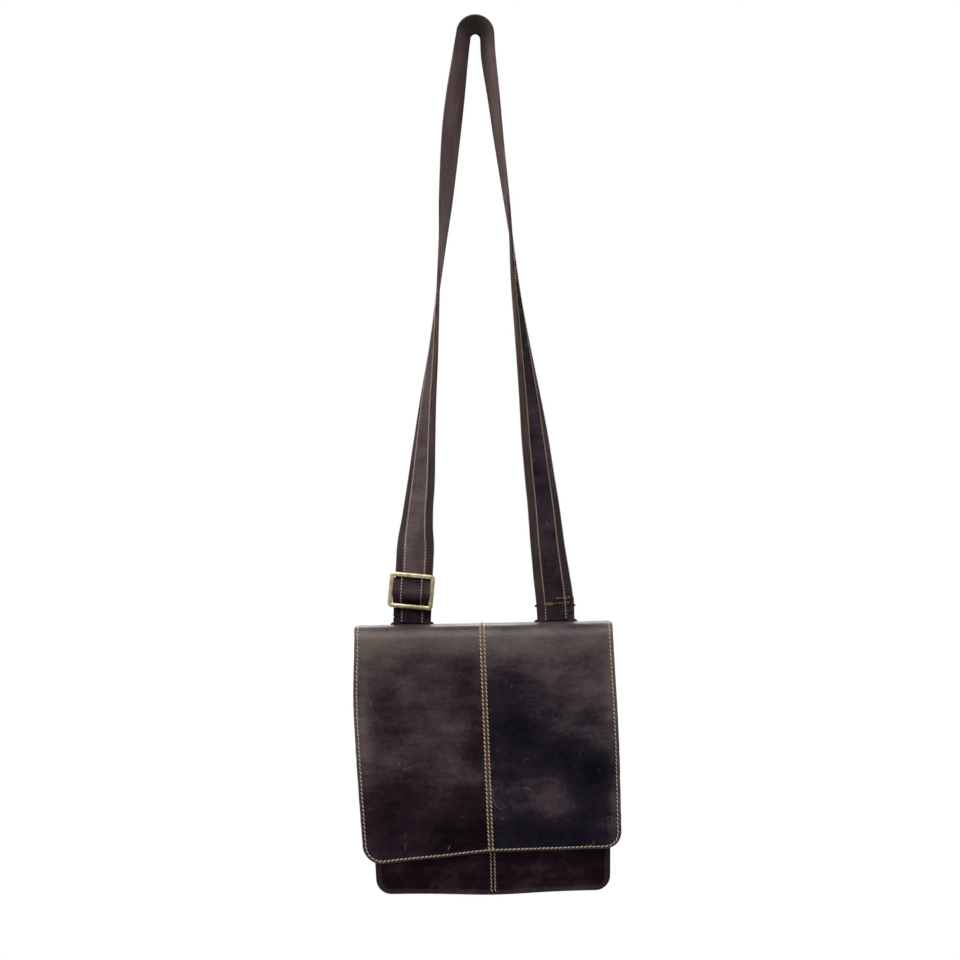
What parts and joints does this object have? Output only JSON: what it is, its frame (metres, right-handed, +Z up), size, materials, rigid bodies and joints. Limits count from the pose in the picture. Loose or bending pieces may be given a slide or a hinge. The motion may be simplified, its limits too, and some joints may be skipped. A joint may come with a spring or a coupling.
{
  "type": "sling bag",
  "caption": "Slim crossbody bag of distressed leather with a full front flap, hanging by its long adjustable shoulder strap from a peg.",
  "frame": {"origin": "where the underside of the strap's topmost bend rests on the peg that holds the bag", "axes": "+Z up along the hanging strap, -Y towards the bag's front, +X to the right as seen from the front"},
  "size_m": [0.2645, 0.0644, 0.8773],
  "materials": {
    "leather": "oiled, rubbed and clouded, dark brown",
    "strap_leather": "oiled, dark brown",
    "webbing": "woven, dark reddish brown",
    "lining": "plain woven, matt",
    "antique_brass": "pale antique, satin",
    "black_steel": "black, satin",
    "magnet_steel": "nickel plated",
    "thread": "waxed tan thread"
  },
  "bodies": {
    "strap": {"strap_webbing": "webbing", "strap_overlay": "strap_leather", "strap_loop_left": "webbing", "strap_return_left": "webbing", "strap_end_right": "webbing"},
    "slider": {"slider_buckle": "antique_brass", "strap_fold": "strap_leather"},
    "rings": {"ring_left": "black_steel", "ring_right": "black_steel"},
    "bag": {"back_panel": "leather", "front_panel_left": "leather", "front_panel_right": "leather", "gusset": "leather", "front_binding": "leather", "lining": "lining", "inner_pocket": "lining", "flap_yoke": "leather", "ring_tab_left": "leather", "ring_tab_right": "leather", "magnet_socket_left": "magnet_steel", "magnet_socket_right": "magnet_steel"},
    "flap_top": {"flap_top_left": "leather", "flap_top_right": "leather", "flap_top_lining": "lining"},
    "flap_front": {"flap_front_left": "leather", "flap_front_right": "leather", "flap_front_lining": "lining", "magnet_stud_left": "magnet_steel", "magnet_stud_right": "magnet_steel"}
  },
  "joints": [
    {"name": "ring_swing", "type": "hinge", "parent": "strap", "child": "rings", "pos_m": [0, 0.0062, -0.5957], "axis": [1, 0, 0], "range_deg": [-8, 25]},
    {"name": "bag_swing", "type": "hinge", "parent": "rings", "child": "bag", "pos_m": [0, 0.0062, -0.6082], "axis": [1, 0, 0], "range_deg": [-2, 60]},
    {"name": "flap_lift", "type": "hinge", "parent": "bag", "child": "flap_top", "pos_m": [0, -0.001, -0.5965], "axis": [-1, 0, 0], "range_deg": [0, 70]},
    {"name": "flap_fold", "type": "hinge", "parent": "flap_top", "child": "flap_front", "pos_m": [0, -0.047, -0.61165], "axis": [-1, 0, 0], "range_deg": [0, 80]},
    {"name": "slider_slide", "type": "slide", "parent": "strap", "child": "slider", "axis": [0.0706, 0, 0.9975], "range_m": [0, 0.016], "deforming": ["strap_return_left"]}
  ]
}
